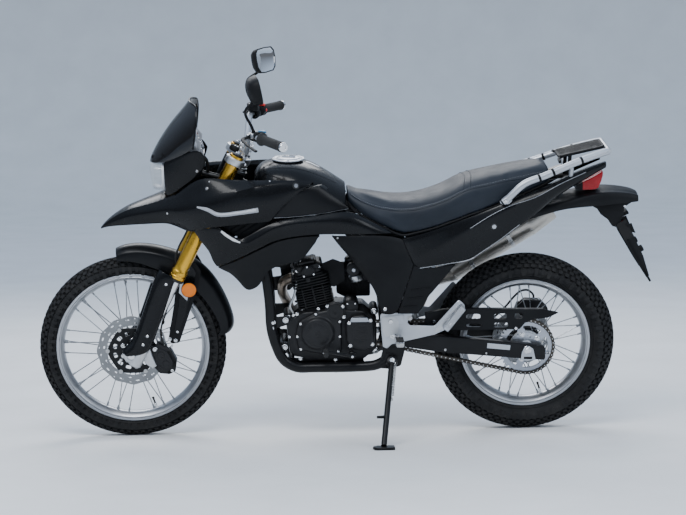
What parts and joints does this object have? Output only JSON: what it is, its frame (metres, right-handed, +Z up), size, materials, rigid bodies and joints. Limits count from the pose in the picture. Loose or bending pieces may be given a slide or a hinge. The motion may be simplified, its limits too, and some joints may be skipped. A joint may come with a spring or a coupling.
{
  "type": "dual sport motorcycle",
  "caption": "Black dual sport motorcycle leaning on its side stand, with spoked wheels, gold fork tubes, long seat, beak, screen and small rack.",
  "frame": {"origin": "bottom centre of the whole leaning motorcycle, on the floor", "axes": "+X forward, +Y to the rider's left, +Z up"},
  "size_m": [2.2344, 0.8387, 1.4322],
  "materials": {
    "black_gloss": "glossy",
    "black_paint": "satin",
    "black_plastic": "textured",
    "seat_vinyl": "matte vinyl",
    "tyre": "worn tread",
    "silver_rim": "satin",
    "silver_paint": "satin",
    "polished": "polished",
    "steel": "brushed",
    "chrome": "mirror",
    "gold": "anodised gold",
    "engine_black": "satin",
    "chain_steel": "oiled",
    "smoked_screen": "smoked",
    "lens": "clear",
    "red_lens": "glossy",
    "grip_rubber": "matte"
  },
  "bodies": {
    "chassis": {"beak": "black_gloss", "chain": "chain_steel", "chain_guard": "black_plastic", "clutch_cover": "engine_black", "cowl_stay": "black_paint", "crankcase": "engine_black", "cylinder": "engine_black", "cylinder_head": "engine_black", "exhaust_header": "steel", "foot_brackets": "polished", "foot_controls": "polished", "footpegs": "steel", "fuel_cap": "chrome", "fuel_tank": "black_gloss", "grab_rails": "silver_paint", "headlight": "black_plastic", "headlight_lens": "lens", "instruments": "black_plastic", "intake": "grip_rubber", "left_covers": "engine_black", "lower_fairings": "black_gloss", "luggage_rack": "black_paint", "main_frame": "black_paint", "muffler": "silver_paint", "rear_axle": "steel", "rear_caliper": "engine_black", "rear_fender": "black_plastic", "rear_shock": "steel", "seat": "seat_vinyl", "shrouds": "black_gloss", "side_panels": "black_gloss", "subframe": "black_paint", "swingarm": "black_paint", "tail_light": "red_lens", "tail_panels": "black_gloss", "windscreen": "smoked_screen"},
    "steering": {"triple_clamps": "polished", "fork_tubes": "gold", "fork_lowers": "polished", "front_axle": "steel", "fork_guards": "black_plastic", "front_fender": "black_gloss", "front_caliper": "engine_black", "handlebar": "polished", "grips": "grip_rubber", "hand_controls": "black_plastic", "mirrors": "black_plastic"},
    "front_wheel": {"front_tyre": "tyre", "front_rim": "silver_rim", "front_hub": "engine_black", "front_spokes": "chrome", "front_disc": "steel"},
    "rear_wheel": {"rear_tyre": "tyre", "rear_rim": "silver_rim", "rear_hub": "polished", "rear_spokes": "chrome", "rear_sprocket": "steel", "rear_disc": "steel"},
    "side_stand": {"side_stand": "black_paint"}
  },
  "joints": [
    {"name": "steering", "type": "hinge", "parent": "chassis", "child": "steering", "pos_m": [0.40968, -0.04494, 0.91908], "axis": [-0.454, 0.1394, 0.88], "range_deg": [-38, 38]},
    {"name": "front_wheel_spin", "type": "hinge", "parent": "steering", "child": "front_wheel", "pos_m": [0.7755, -0.13692, 0.33831], "axis": [0, 0.9877, -0.1564], "continuous": true},
    {"name": "rear_wheel_spin", "type": "hinge", "parent": "chassis", "child": "rear_wheel", "pos_m": [-0.6645, -0.13814, 0.33063], "axis": [0, 0.9877, -0.1564], "continuous": true},
    {"name": "side_stand_fold", "type": "hinge", "parent": "chassis", "child": "side_stand", "pos_m": [-0.1695, -0.00424, 0.28107], "axis": [0, 0.8886, 0.4586], "range_deg": [0, 96]}
  ]
}
